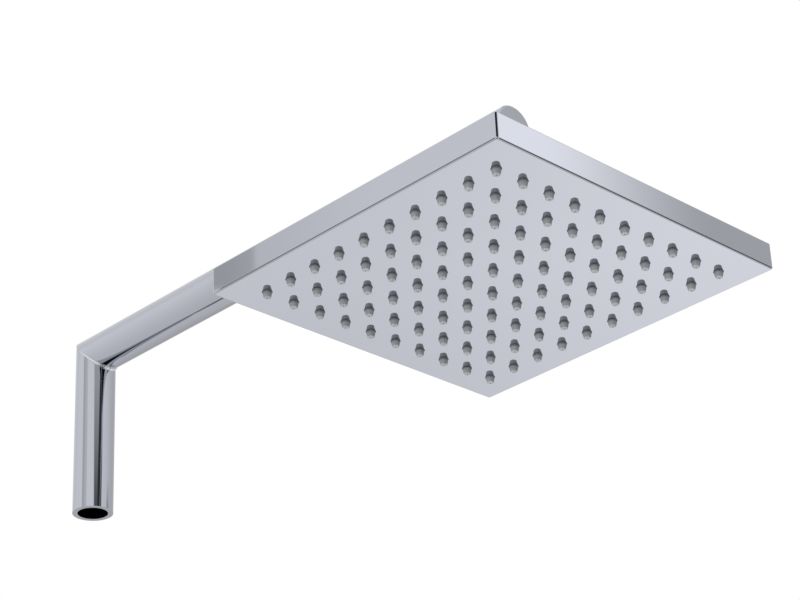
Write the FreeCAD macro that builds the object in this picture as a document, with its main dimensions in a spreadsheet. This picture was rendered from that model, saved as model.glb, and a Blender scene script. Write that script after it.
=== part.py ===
import FreeCAD, Part
import os
import re
import Sketcher

# A square rain head on a round mitred arm with the upper length of its riser.
# The origin is the centre of the riser's foot, +Z runs up the riser and the arm reaches towards -Y.

# Driving sizes in millimetres; names that end in angle or latitude are degrees, counts are plain numbers
SIZES = {
    # Tubes
    "tube_diameter": 24.0,
    "tube_wall": 1.5,
    "riser_rise": 102.0,
    "arm_reach": 330.0,
    "arm_overhang": 22.0,
    "cap_rim": 2.0,
    "cap_spigot": 5.0,
    "cap_edge_radius": 0.8,
    "braze_fit": 0.05,
    "seam_fillet": 0.5,
    "seam_width_share": 0.92,
    # Socket in the riser's foot
    "spigot_diameter": 18.0,
    "spigot_depth": 25.0,
    "socket_stop": 3.0,
    "socket_stop_step": 1.5,
    "locking_diameter": 5.0,
    "locking_height": 12.5,
    "locking_recess": 0.5,
    "locking_setback": 0.1,
    "locking_fit": 0.05,
    "key_width": 2.5,
    "key_depth": 1.4,
    # Outlet under the arm
    "hub_diameter": 22.0,
    "hub_length": 4.5,
    "outlet_diameter": 20.8,
    "outlet_length": 8.0,
    "outlet_bore": 12.0,
    "tail_diameter": 15.8,
    "tail_stand": 1.0,
    # Flow regulator, filter and union nut
    "regulator_diameter": 14.2,
    "regulator_length": 4.5,
    "regulator_fit": 0.05,
    "regulator_post": 5.2,
    "regulator_rim": 1.7,
    "regulator_floor": 2.2,
    "regulator_hole": 1.6,
    "regulator_hole_count": 8,
    "regulator_ring_section": 2.0,
    "filter_thickness": 2.0,
    "filter_bore": 13.0,
    "screen_thickness": 0.5,
    "screen_hole": 1.2,
    "screen_hole_pitch": 2.2,
    "nut_width": 25.0,
    "nut_height": 14.0,
    "nut_lip": 2.5,
    "thread_fit": 0.1,
    "nut_chamfer_angle": 30.0,
    # Ball swivel
    "ball_diameter": 22.0,
    "ball_play": 0.1,
    "stem_bore": 8.0,
    "neck_diameter": 12.0,
    "neck_rise": 19.0,
    "neck_clearance": 0.6,
    "stem_flange": 2.5,
    "stem_flange_play": 1.0,
    "liner_thickness": 1.4,
    "liner_top_latitude": 24.0,
    "liner_bottom_latitude": 18.0,
    "seal_section": 2.4,
    "seal_latitude": 40.0,
    "seal_fit": 0.05,
    "cup_diameter": 29.0,
    "cup_rise": 11.0,
    "cup_rim_drop": 1.0,
    "water_bore": 12.0,
    "socket_flange_diameter": 36.0,
    "socket_flange": 2.5,
    "socket_tail_diameter": 19.6,
    "socket_tail_fit": 0.2,
    "socket_tail_stand": 1.0,
    "swivel_washer_diameter": 33.0,
    "swivel_washer": 1.0,
    "collar_diameter": 35.0,
    "collar_lift": 0.4,
    "collar_lip": 9.5,
    "collar_shoulder": 3.0,
    "collar_mouth_latitude": 40.0,
    "collar_flare_angle": 20.0,
    "flute_diameter": 5.0,
    "flute_depth": 0.8,
    "flute_run": 9.0,
    "flute_count": 16,
    "lock_nut_width": 26.0,
    "lock_nut_thickness": 4.0,
    # Head
    "head_side": 200.0,
    "head_depth": 14.5,
    "head_corner_radius": 1.5,
    "head_edge_radius": 1.0,
    "head_rim_radius": 0.6,
    "face_thickness": 2.0,
    "side_thickness": 2.0,
    "nozzle_count": 10,
    "nozzle_margin": 4.2,
    "nozzle_root": 5.2,
    "nozzle_tip": 3.5,
    "nozzle_reach": 3.5,
    "nozzle_nose": 0.5,
    "nozzle_bore": 1.2,
    "nozzle_clearance": 0.1,
    "mat_thickness": 1.2,
    "mat_inset": 2.0,
    "retainer_thickness": 2.0,
    "retainer_slot": 3.0,
    "gasket_thickness": 1.5,
    "gasket_width": 3.5,
    "chamber_gap": 1.5,
    "cover_thickness": 2.0,
    "cover_gap": 0.2,
    "crown_inset": 9.5,
    "crown_top_side": 60.0,
    "crown_rise": 4.0,
    "boss_diameter": 7.0,
    "boss_inset": 7.0,
    "screw_diameter": 2.9,
    "screw_head": 5.6,
    "screw_length": 9.0,
    "screw_fit": 0.05,
    # Length by which a cutting shape runs past what it cuts
    "overrun": 1.0,
}

# Sizes that follow from the driving ones; heights are above the spray face
DERIVED = {
    "tube_radius": "tube_diameter / 2",
    "tube_bore_radius": "tube_radius - tube_wall",
    "arm_length": "arm_reach + arm_overhang - cap_rim",
    "spigot_radius": "spigot_diameter / 2",
    "outlet_radius": "outlet_diameter / 2",
    "outlet_bore_radius": "outlet_bore / 2",
    "outlet_tail_radius": "tail_diameter / 2",
    "regulator_radius": "regulator_diameter / 2",
    "trough_inner_radius": "regulator_post / 2",
    "trough_outer_radius": "regulator_radius - regulator_rim",
    "trough_middle_radius": "(trough_inner_radius + trough_outer_radius) / 2",
    "neck_radius": "neck_diameter / 2",
    "stem_flange_radius": "outlet_radius - stem_flange_play",
    "ball_radius": "ball_diameter / 2",
    "liner_inner_radius": "ball_radius + ball_play",
    "liner_outer_radius": "liner_inner_radius + liner_thickness",
    "cavity_radius": "liner_outer_radius + ball_play",
    "seal_distance": "ball_radius + ball_play + seal_section / 2",
    "seal_ring_radius": "seal_distance * cos(seal_latitude)",
    "seal_drop": "seal_distance * sin(seal_latitude)",
    "cup_radius": "cup_diameter / 2",
    "socket_tail_radius": "socket_tail_diameter / 2",
    "cover_hole_radius": "socket_tail_radius + socket_tail_fit",
    "collar_radius": "collar_diameter / 2",
    "nozzle_corner": "chamber_inner_half - nozzle_margin",
    "nozzle_span": "nozzle_corner * 2",
    "nozzle_hole_radius": "nozzle_root / 2 + nozzle_clearance",
    "chamber_half": "boss_place - boss_diameter / 2 - chamber_gap",
    "chamber_inner_half": "chamber_half - gasket_width",
    "mat_half": "chamber_half - mat_inset",
    "crown_half": "chamber_inner_half - crown_inset",
    "tray_inner_half": "head_side / 2 - side_thickness",
    "cover_half": "tray_inner_half - cover_gap",
    "boss_place": "head_side / 2 - boss_inset",
    "screw_radius": "screw_diameter / 2",
    "screw_head_radius": "screw_head / 2",
    "screw_head_depth": "screw_head_radius - screw_radius",
    "mat_height": "face_thickness",
    "retainer_height": "mat_height + mat_thickness",
    "gasket_height": "retainer_height + retainer_thickness",
    "skirt_height": "gasket_height + gasket_thickness",
    "cover_height": "head_depth - cover_thickness",
    "crown_height": "head_depth + crown_rise",
    "crown_ceiling": "crown_height - cover_thickness",
    "lock_nut_height": "crown_ceiling - lock_nut_thickness",
    "socket_tail_height": "lock_nut_height - socket_tail_stand",
    "socket_height": "crown_height + swivel_washer",
    "cup_height": "socket_height + socket_flange",
    "ball_height": "cup_height + cup_rise",
    "cup_rim_height": "ball_height - cup_rim_drop",
    "collar_height": "cup_height + collar_lift",
    "collar_top": "ball_height + collar_lip",
    "stem_height": "ball_height + neck_rise",
    "nut_bottom": "stem_height - nut_lip",
    "nut_top": "nut_bottom + nut_height",
    "filter_height": "stem_height + stem_flange",
    "nipple_height": "filter_height + filter_thickness",
    "regulator_top": "nipple_height + regulator_length",
    "hub_height": "nipple_height + outlet_length",
    "head_drop": "hub_height + hub_length + tube_radius",
    "tail_top": "head_drop - sqrt(tube_bore_radius ^ 2 - outlet_tail_radius ^ 2) + tail_stand",
}

doc = FreeCAD.newDocument("rain_shower")
sheet = doc.addObject("Spreadsheet::Sheet", "sizes")
for row, (alias, number) in enumerate(SIZES.items(), start=1):
    sheet.set(f"A{row}", alias)
    sheet.set(f"B{row}", str(number))
    sheet.setAlias(f"B{row}", alias)
doc.recompute()

subparts = []


def formula(text):
    """Write a formula over named sizes in the form that the document's expressions take."""
    def swap(match):
        word = match.group(0)
        if word in DERIVED:
            return "(" + formula(DERIVED[word]) + ")"
        return "sizes." + word if word in SIZES else word
    return re.sub(r"[a-z_]+", swap, text)


def value(text):
    """Work a formula out to a plain number."""
    return float(sheet.evalExpression(formula(text)))


def bind(item, **properties):
    """Bind properties of a document object to formulas; a double underscore stands for a dot."""
    for name, text in properties.items():
        item.setExpression(name.replace("__", "."), formula(text))


def new_body(label, x="0", y="0", z="0"):
    """Start a sub-part as a body whose own origin lies at the given place."""
    body = doc.addObject("PartDesign::Body", label)
    body.Label = label
    bind(body, Placement__Base__x=x, Placement__Base__y=y, Placement__Base__z=z)
    subparts.append(body)
    return body


def arm_body(label):
    """Start a sub-part at the crossing of the arm's and the riser's axes."""
    return new_body(label, z="riser_rise")


def head_body(label):
    """Start a sub-part at the centre of the spray face."""
    return new_body(label, y="-arm_reach", z="riser_rise - head_drop")


def new_sketch(body, plane, x="0", y="0", lift="0"):
    """Attach an empty sketch to one of the body's origin planes, shifted in it and lifted off it."""
    sketch = body.newObject("Sketcher::SketchObject", body.Label + "_sketch")
    support = next(item for item in body.Origin.OriginFeatures if item.Role == plane)
    sketch.AttachmentSupport = [(support, "")]
    sketch.MapMode = "FlatFace"
    bind(
        sketch,
        AttachmentOffset__Base__x=x,
        AttachmentOffset__Base__y=y,
        AttachmentOffset__Base__z=lift,
    )
    return sketch


def pin(sketch, edge, end, x, y):
    """Hold one point of a sketch at a pair of formulas."""
    for kind, text in (("DistanceX", x), ("DistanceY", y)):
        index = sketch.addConstraint(Sketcher.Constraint(kind, -1, 1, edge, end, value(text)))
        sketch.setExpression(f"Constraints[{index}]", formula(text))


def draw_outline(sketch, points):
    """Draw a closed outline of straight lines through pairs of formulas."""
    corners = [FreeCAD.Vector(value(x), value(y), 0) for x, y in points]
    following = corners[1:] + corners[:1]
    edges = [sketch.addGeometry(Part.LineSegment(a, b), False) for a, b in zip(corners, following)]
    for edge, after in zip(edges, edges[1:] + edges[:1]):
        sketch.addConstraint(Sketcher.Constraint("Coincident", edge, 2, after, 1))
    for edge, (x, y) in zip(edges, points):
        pin(sketch, edge, 1, x, y)


def draw_square(sketch, half):
    """Draw a square about the sketch's origin."""
    draw_outline(sketch, [(f"-{half}", f"-{half}"), (half, f"-{half}"), (half, half), (f"-{half}", half)])


def draw_hexagon(sketch, width):
    """Draw a regular hexagon about the sketch's origin from its width across flats."""
    reach = f"{width} / sqrt(3)"
    draw_outline(sketch, [(f"{reach} * cos({60 * i})", f"{reach} * sin({60 * i})") for i in range(6)])


def draw_circle(sketch, radius, x="0", y="0"):
    """Draw a circle about a pair of formulas."""
    centre = FreeCAD.Vector(value(x), value(y), 0)
    edge = sketch.addGeometry(Part.Circle(centre, FreeCAD.Vector(0, 0, 1), value(radius)), False)
    pin(sketch, edge, 3, x, y)
    index = sketch.addConstraint(Sketcher.Constraint("Radius", edge, value(radius)))
    sketch.setExpression(f"Constraints[{index}]", formula(radius))


def pad(body, sketch, length):
    """Raise a sketch along its normal."""
    feature = body.newObject("PartDesign::Pad", body.Label + "_pad")
    feature.Profile = sketch
    bind(feature, Length=length)
    doc.recompute()
    return feature


def pocket(body, sketch, depth=None):
    """Sink a sketch against its normal, or cut it through everything on both sides."""
    feature = body.newObject("PartDesign::Pocket", body.Label + "_pocket")
    feature.Profile = sketch
    if depth:
        bind(feature, Length=depth)
    else:
        feature.Type = "ThroughAll"
        feature.Midplane = True
    doc.recompute()
    return feature


def turn(body, points, kind="Revolution", x="0", depth="0"):
    """Turn an outline of (radius, height) pairs about an upright axis, shifted in X and towards -Y."""
    sketch = new_sketch(body, "XZ_Plane", x=x, lift=depth)
    draw_outline(sketch, points)
    feature = body.newObject("PartDesign::" + kind, body.Label + "_turn")
    feature.Profile = sketch
    feature.ReferenceAxis = (sketch, ["V_Axis"])
    doc.recompute()
    return feature


def solid(body, kind, z, **properties):
    """Add or cut a primitive that stands at a height on the body's upright axis."""
    feature = body.newObject("PartDesign::" + kind, body.Label + "_" + kind.lower())
    bind(feature, Placement__Base__z=z, **properties)
    doc.recompute()
    return feature


def ring_pattern(body, originals, count):
    """Repeat features evenly round the body's upright axis."""
    feature = body.newObject("PartDesign::PolarPattern", body.Label + "_ring")
    feature.Originals = originals
    axis = next(item for item in body.Origin.OriginFeatures if item.Role == "Z_Axis")
    feature.Axis = (axis, [""])
    feature.Angle = 360
    bind(feature, Occurrences=count)
    body.Tip = feature
    doc.recompute()
    return feature


def row_pattern(body, originals, roles):
    """Repeat features over the nozzle field along one or both of the body's level axes."""
    feature = body.newObject("PartDesign::LinearPattern", body.Label + "_rows")
    feature.Originals = originals
    axes = {item.Role: item for item in body.Origin.OriginFeatures}
    for suffix, role in zip(("", "2"), roles):
        setattr(feature, "Direction" + suffix, (axes[role], [""]))
        feature.setExpression("Length" + suffix, formula("nozzle_span"))
        feature.setExpression("Occurrences" + suffix, formula("nozzle_count"))
    body.Tip = feature
    doc.recompute()
    return feature


def round_edges(body, feature, chosen, radius):
    """Round the edges of a feature that a test on their two ends picks out."""
    names = []
    for number, edge in enumerate(feature.Shape.Edges, start=1):
        ends = [vertex.Point for vertex in edge.Vertexes]
        if len(ends) == 2 and chosen(*ends):
            names.append(f"Edge{number}")
    fillet = body.newObject("PartDesign::Fillet", body.Label + "_fillet")
    fillet.Base = (feature, names)
    bind(fillet, Radius=radius)
    doc.recompute()
    return fillet


def riser_tube():
    """Upright tube, mitred at its top, with a radial hole for the locking screw at its back."""
    body = new_body("riser_tube")
    sketch = new_sketch(body, "XY_Plane")
    draw_circle(sketch, "tube_radius")
    draw_circle(sketch, "tube_bore_radius")
    pad(body, sketch, "riser_rise + tube_radius")
    mitre = new_sketch(body, "YZ_Plane", y="riser_rise")
    reach = "(tube_radius + overrun)"
    draw_outline(mitre, [(f"-{reach}", f"-{reach}"), (reach, reach), (f"-{reach}", reach)])
    pocket(body, mitre)
    locking_hole(body)


def locking_hole(body):
    """Radial hole for the locking screw, from the tube's axis out through its back."""
    sketch = new_sketch(body, "XZ_Plane", y="locking_height", lift="-(tube_radius + overrun)")
    draw_circle(sketch, "locking_diameter / 2 + locking_fit")
    hole = body.newObject("PartDesign::Pocket", body.Label + "_hole")
    hole.Profile = sketch
    hole.Reversed = True
    bind(hole, Length="tube_radius + overrun")
    doc.recompute()


def arm_tube():
    """Level tube, mitred at its back end, with a hole underneath for the outlet's tail."""
    body = arm_body("arm_tube")
    sketch = new_sketch(body, "XZ_Plane", lift="-tube_radius")
    draw_circle(sketch, "tube_radius")
    draw_circle(sketch, "tube_bore_radius")
    pad(body, sketch, "tube_radius + arm_length")
    mitre = new_sketch(body, "YZ_Plane")
    reach = "(tube_radius + overrun)"
    draw_outline(mitre, [(f"-{reach}", f"-{reach}"), (reach, f"-{reach}"), (reach, reach)])
    pocket(body, mitre)
    outlet = new_sketch(body, "XY_Plane", y="-arm_reach")
    draw_circle(outlet, "outlet_tail_radius + braze_fit")
    pocket(body, outlet, "tube_radius + overrun")


def arm_end_cap():
    """Disc with a softened edge and a spigot that is brazed into the arm's front end."""
    body = new_body("arm_end_cap", y="-arm_length", z="riser_rise")
    disc = new_sketch(body, "XZ_Plane")
    draw_circle(disc, "tube_radius")
    rim = pad(body, disc, "cap_rim")
    front = value("-cap_rim")
    edges = [f"Edge{number}" for number, edge in enumerate(rim.Shape.Edges, start=1)
             if edge.Closed and abs(edge.CenterOfMass.y - front) < value("cap_edge_radius")]
    fillet = body.newObject("PartDesign::Fillet", "arm_end_cap_fillet")
    fillet.Base = (rim, edges)
    bind(fillet, Radius="cap_edge_radius")
    doc.recompute()
    plug = new_sketch(body, "XZ_Plane", lift="-cap_spigot")
    draw_circle(plug, "tube_bore_radius - braze_fit")
    pad(body, plug, "cap_spigot + cap_rim / 2")


def mitre_braze():
    """Fillet of filler metal in the mitre's inner corner, widest at the corner and fading round the sides."""
    radius = value("tube_radius")
    fillet = value("seam_fillet")
    past = radius + value("overrun")
    down_corner = FreeCAD.Vector(0, -1, -1).normalize()
    across = FreeCAD.Vector(0, -1, 1).normalize()
    sideways = FreeCAD.Vector(1, 0, 0)
    half_thickness = across * (2 * fillet)
    centre = down_corner * fillet - half_thickness
    ellipse = Part.Ellipse(centre + down_corner * radius * 2 ** 0.5, centre + sideways * radius, centre)
    band = Part.Face(Part.Wire(ellipse.toShape())).extrude(half_thickness * 2)
    half_width = radius * value("seam_width_share")
    keep = Part.makeBox(2 * half_width, past, past, FreeCAD.Vector(-half_width, -past, -past))
    tubes = [
        Part.makeCylinder(radius, 4 * past, FreeCAD.Vector(0, 2 * past, 0), FreeCAD.Vector(0, -1, 0)),
        Part.makeCylinder(radius, 4 * past, FreeCAD.Vector(0, 0, -2 * past), FreeCAD.Vector(0, 0, 1)),
    ]
    feature = doc.addObject("Part::Feature", "mitre_braze")
    feature.Label = "mitre_braze"
    feature.Shape = band.common(keep).cut(tubes)
    bind(feature, Placement__Base__z="riser_rise")
    subparts.append(feature)


def riser_socket():
    """Bush in the riser's foot: a plain bore for the lower riser's spigot, with a stop at its top."""
    body = new_body("riser_socket")
    outer = "tube_bore_radius - braze_fit"
    stop = "spigot_radius - socket_stop_step"
    turn(body, [
        ("spigot_radius", "0"),
        (outer, "0"),
        (outer, "spigot_depth + socket_stop"),
        (stop, "spigot_depth + socket_stop"),
        (stop, "spigot_depth"),
        ("spigot_radius", "spigot_depth"),
    ])
    locking_hole(body)


def locking_screw():
    """Set screw with a hexagon socket, sunk below the tube and clear of the bore."""
    body = new_body("locking_screw", y="tube_radius - locking_recess", z="locking_height")
    shank = new_sketch(body, "XZ_Plane")
    draw_circle(shank, "locking_diameter / 2")
    pad(body, shank, "tube_radius - locking_recess - spigot_radius - locking_setback")
    key = new_sketch(body, "XZ_Plane")
    draw_hexagon(key, "key_width")
    cut = body.newObject("PartDesign::Pocket", "locking_screw_key")
    cut.Profile = key
    cut.Reversed = True
    bind(cut, Length="key_depth")
    doc.recompute()


def outlet_nipple():
    """Hub saddled to the arm's underside, with a tail up into the arm and a threaded end below."""
    body = head_body("outlet_nipple")
    solid(body, "AdditiveCylinder", "hub_height", Radius="hub_diameter / 2", Height="head_drop - hub_height")
    saddle = body.newObject("PartDesign::SubtractiveCylinder", "outlet_nipple_saddle")
    saddle.Placement.Rotation = FreeCAD.Rotation(FreeCAD.Vector(1, 0, 0), 90)
    bind(
        saddle,
        Radius="tube_radius",
        Height="hub_diameter + 2 * overrun",
        Placement__Base__y="hub_diameter / 2 + overrun",
        Placement__Base__z="head_drop",
    )
    doc.recompute()
    turn(body, [
        ("0", "nipple_height"),
        ("outlet_radius", "nipple_height"),
        ("outlet_radius", "hub_height"),
        ("outlet_tail_radius", "hub_height"),
        ("outlet_tail_radius", "tail_top"),
        ("0", "tail_top"),
    ])
    solid(body, "SubtractiveCylinder", "nipple_height - overrun", Radius="outlet_bore_radius",
          Height="head_drop - nipple_height + overrun")
    solid(body, "SubtractiveCylinder", "nipple_height - overrun", Radius="regulator_radius + regulator_fit",
          Height="regulator_length + overrun")


def flow_regulator():
    """Disc with an annular trough on its upstream side and a ring of holes in the trough's floor."""
    body = head_body("flow_regulator")
    turn(body, [
        ("0", "nipple_height"),
        ("regulator_radius", "nipple_height"),
        ("regulator_radius", "regulator_top"),
        ("trough_outer_radius", "regulator_top"),
        ("trough_outer_radius", "nipple_height + regulator_floor"),
        ("trough_inner_radius", "nipple_height + regulator_floor"),
        ("trough_inner_radius", "regulator_top"),
        ("0", "regulator_top"),
    ])
    sketch = new_sketch(body, "XY_Plane", lift="regulator_top")
    draw_circle(sketch, "regulator_hole / 2", x="trough_middle_radius")
    hole = pocket(body, sketch, "regulator_length + overrun")
    ring_pattern(body, [hole], "regulator_hole_count")


def regulator_ring():
    """Rubber ring on the floor of the regulator's trough."""
    body = head_body("regulator_ring")
    solid(body, "AdditiveTorus", "nipple_height + regulator_floor + regulator_ring_section / 2",
          Radius1="trough_middle_radius", Radius2="regulator_ring_section / 2")


def filter_washer():
    """Rubber washer between the outlet and the stem's flange."""
    body = head_body("filter_washer")
    turn(body, [
        ("filter_bore / 2", "filter_height"),
        ("stem_flange_radius", "filter_height"),
        ("stem_flange_radius", "nipple_height"),
        ("filter_bore / 2", "nipple_height"),
    ])


def filter_screen():
    """Perforated strainer held in the middle of the washer."""
    body = head_body("filter_screen")
    bottom = "filter_height + (filter_thickness - screen_thickness) / 2"
    disc = new_sketch(body, "XY_Plane", lift=bottom)
    draw_circle(disc, "filter_bore / 2")
    pad(body, disc, "screen_thickness")
    hole = new_sketch(body, "XY_Plane", lift=bottom + " + screen_thickness")
    draw_circle(hole, "screen_hole / 2")
    for ring in (1, 2):
        draw_circle(hole, "screen_hole / 2", x=f"{ring} * screen_hole_pitch")
    ring_pattern(body, [pocket(body, hole, "screen_thickness + overrun")], "6")


def union_nut():
    """Hexagon nut whose inner lip pulls the stem's flange up against the washer and the outlet."""
    body = head_body("union_nut")
    sketch = new_sketch(body, "XY_Plane", lift="nut_bottom")
    draw_hexagon(sketch, "nut_width")
    pad(body, sketch, "nut_height")
    solid(body, "SubtractiveCylinder", "stem_height", Radius="outlet_radius + thread_fit",
          Height="nut_height + overrun")
    solid(body, "SubtractiveCylinder", "nut_bottom - overrun", Radius="neck_radius + neck_clearance",
          Height="nut_lip + 2 * overrun")
    corner = "nut_width / sqrt(3) + overrun"
    slope = f"({corner} - nut_width / 2) * tan(nut_chamfer_angle)"
    for edge, inward in (("nut_bottom", "+"), ("nut_top", "-")):
        turn(body, [("nut_width / 2", edge), (corner, edge), (corner, f"{edge} {inward} {slope}")], "Groove")


def swivel_ball():
    """Ball with a hollow stem, flanged at its top."""
    body = head_body("swivel_ball")
    solid(body, "AdditiveSphere", "ball_height", Radius="ball_radius")
    turn(body, [
        ("0", "ball_height"),
        ("neck_radius", "ball_height"),
        ("neck_radius", "stem_height"),
        ("stem_flange_radius", "stem_height"),
        ("stem_flange_radius", "filter_height"),
        ("0", "filter_height"),
    ])
    solid(body, "SubtractiveCylinder", "ball_height - ball_radius - overrun", Radius="stem_bore / 2",
          Height="ball_radius + neck_rise + stem_flange + 2 * overrun")


def ball_liner():
    """Friction liner: a spherical band between the ball and its socket."""
    body = head_body("ball_liner")
    solid(body, "AdditiveSphere", "ball_height", Radius="liner_outer_radius",
          Angle1="-liner_bottom_latitude", Angle2="liner_top_latitude")
    solid(body, "SubtractiveSphere", "ball_height", Radius="liner_inner_radius")


def collar_nut():
    """Round nut that closes the socket over the ball, with a flared mouth for the neck and grip flutes."""
    body = head_body("collar_nut")
    turn(body, [
        ("0", "collar_height"),
        ("collar_radius", "collar_height"),
        ("collar_radius", "collar_top - collar_shoulder"),
        ("collar_radius - collar_shoulder", "collar_top"),
        ("0", "collar_top"),
    ])
    solid(body, "SubtractiveCylinder", "collar_height - overrun", Radius="cup_radius + thread_fit",
          Height="cup_rim_height - collar_height + overrun")
    solid(body, "SubtractiveSphere", "ball_height", Radius="cavity_radius")
    mouth = "cavity_radius * cos(collar_mouth_latitude)"
    mouth_rise = "cavity_radius * sin(collar_mouth_latitude)"
    solid(
        body,
        "SubtractiveCone",
        "ball_height",
        Radius1=f"{mouth} - {mouth_rise} * tan(collar_flare_angle)",
        Radius2=f"{mouth} + (collar_lip + overrun - {mouth_rise}) * tan(collar_flare_angle)",
        Height="collar_lip + overrun",
    )
    sketch = new_sketch(body, "XY_Plane", lift="collar_height + flute_run")
    draw_circle(sketch, "flute_diameter / 2", x="collar_radius + flute_diameter / 2 - flute_depth")
    flute = pocket(body, sketch, "flute_run + overrun")
    ring_pattern(body, [flute], "flute_count")


def swivel_socket():
    """Cup under the ball, with a flange on the crown and a threaded tail through it."""
    body = head_body("swivel_socket")
    turn(body, [
        ("0", "socket_tail_height"),
        ("socket_tail_radius", "socket_tail_height"),
        ("socket_tail_radius", "socket_height"),
        ("socket_flange_diameter / 2", "socket_height"),
        ("socket_flange_diameter / 2", "cup_height"),
        ("cup_radius", "cup_height"),
        ("cup_radius", "cup_rim_height"),
        ("0", "cup_rim_height"),
    ])
    solid(body, "SubtractiveSphere", "ball_height", Radius="cavity_radius")
    solid(body, "SubtractiveCylinder", "socket_tail_height - overrun", Radius="water_bore / 2",
          Height="ball_height - socket_tail_height + overrun")
    solid(body, "SubtractiveTorus", "ball_height - seal_drop", Radius1="seal_ring_radius",
          Radius2="seal_section / 2 + seal_fit")


def ball_seal():
    """Rubber ring in the cup's groove, against the underside of the ball."""
    body = head_body("ball_seal")
    solid(body, "AdditiveTorus", "ball_height - seal_drop", Radius1="seal_ring_radius",
          Radius2="seal_section / 2")


def swivel_washer():
    """Rubber washer under the socket's flange."""
    body = head_body("swivel_washer")
    turn(body, [
        ("cover_hole_radius", "crown_height"),
        ("swivel_washer_diameter / 2", "crown_height"),
        ("swivel_washer_diameter / 2", "socket_height"),
        ("cover_hole_radius", "socket_height"),
    ])


def lock_nut():
    """Thin hexagon nut on the socket's tail, under the crown."""
    body = head_body("lock_nut")
    sketch = new_sketch(body, "XY_Plane", lift="lock_nut_height")
    draw_hexagon(sketch, "lock_nut_width")
    draw_circle(sketch, "socket_tail_radius + thread_fit")
    pad(body, sketch, "lock_nut_thickness")


def screw_outline(fit):
    """Half outline of a countersunk screw, or of its hole where a clearance is given."""
    shank = f"screw_radius + {fit}"
    head = f"screw_head_radius + {fit}"
    return [
        ("0", "head_depth"),
        (head, "head_depth"),
        (shank, "head_depth - screw_head_depth"),
        (shank, "head_depth - screw_length"),
        ("0", "head_depth - screw_length"),
    ]


def back_cover():
    """Plate inside the tray's sides, with a pyramid crown, a skirt on the gasket and screw holes."""
    body = head_body("back_cover")
    plate = new_sketch(body, "XY_Plane", lift="cover_height")
    draw_square(plate, "cover_half")
    pad(body, plate, "cover_thickness")
    crown_loft(body, "AdditiveLoft", "head_depth")
    crown_loft(body, "SubtractiveLoft", "cover_height")
    skirt = new_sketch(body, "XY_Plane", lift="skirt_height")
    draw_square(skirt, "chamber_half")
    draw_square(skirt, "chamber_inner_half")
    pad(body, skirt, "cover_height - skirt_height")
    centre = new_sketch(body, "XY_Plane", lift="crown_height")
    draw_circle(centre, "cover_hole_radius")
    pocket(body, centre, "cover_thickness + overrun")
    holes = [turn(body, screw_outline("screw_fit"), "Groove", "boss_place", depth)
             for depth in ("0", "boss_place")]
    ring_pattern(body, holes, "4")


def crown_loft(body, kind, height):
    """Add or cut the crown's four slopes, from its base square up to its top square."""
    base = new_sketch(body, "XY_Plane", lift=height)
    draw_square(base, "crown_half")
    top = new_sketch(body, "XY_Plane", lift=height + " + crown_rise")
    draw_square(top, "(crown_top_side / 2)")
    loft = body.newObject("PartDesign::" + kind, body.Label + "_crown")
    loft.Profile = base
    loft.Sections = [top]
    doc.recompute()


def cover_screws():
    """Countersunk screws at the corners and the middles of the sides."""
    body = head_body("cover_screws")
    body.AllowCompound = True
    screws = [turn(body, screw_outline("0"), "Revolution", "boss_place", depth)
              for depth in ("0", "boss_place")]
    ring_pattern(body, screws, "4")


def chamber_gasket():
    """Square seal between the cover's skirt and the retainer."""
    body = head_body("chamber_gasket")
    sketch = new_sketch(body, "XY_Plane", lift="gasket_height")
    draw_square(sketch, "chamber_half")
    draw_square(sketch, "chamber_inner_half")
    pad(body, sketch, "gasket_thickness")


def mat_retainer():
    """Plate that presses the mat on the face, with one feed slot above each row of nozzles."""
    body = head_body("mat_retainer")
    plate = new_sketch(body, "XY_Plane", lift="retainer_height")
    draw_square(plate, "chamber_half")
    pad(body, plate, "retainer_thickness")
    slot = new_sketch(body, "XY_Plane", lift="gasket_height")
    end = "(nozzle_corner + retainer_slot / 2)"
    side = "retainer_slot / 2"
    draw_outline(slot, [
        (f"-{end}", f"-nozzle_corner - {side}"),
        (end, f"-nozzle_corner - {side}"),
        (end, f"-nozzle_corner + {side}"),
        (f"-{end}", f"-nozzle_corner + {side}"),
    ])
    row_pattern(body, [pocket(body, slot, "retainer_thickness + overrun")], ["Y_Axis"])


def nozzle_mat():
    """Silicone mat with a square field of tapered nozzles that stand out through the face."""
    body = head_body("nozzle_mat")
    sheet_sketch = new_sketch(body, "XY_Plane", lift="mat_height")
    draw_square(sheet_sketch, "mat_half")
    pad(body, sheet_sketch, "mat_thickness")
    nozzle = turn(body, [
        ("0", "-nozzle_reach"),
        ("nozzle_tip / 2 - nozzle_nose", "-nozzle_reach"),
        ("nozzle_tip / 2", "nozzle_nose - nozzle_reach"),
        ("nozzle_root / 2", "0"),
        ("nozzle_root / 2", "mat_height"),
        ("0", "mat_height"),
    ], "Revolution", "-nozzle_corner", "nozzle_corner")
    bore = new_sketch(body, "XY_Plane", x="-nozzle_corner", y="-nozzle_corner", lift="retainer_height")
    draw_circle(bore, "nozzle_bore / 2")
    outlet = pocket(body, bore, "retainer_height + nozzle_reach + overrun")
    row_pattern(body, [nozzle, outlet], ["X_Axis", "Y_Axis"])


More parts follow.
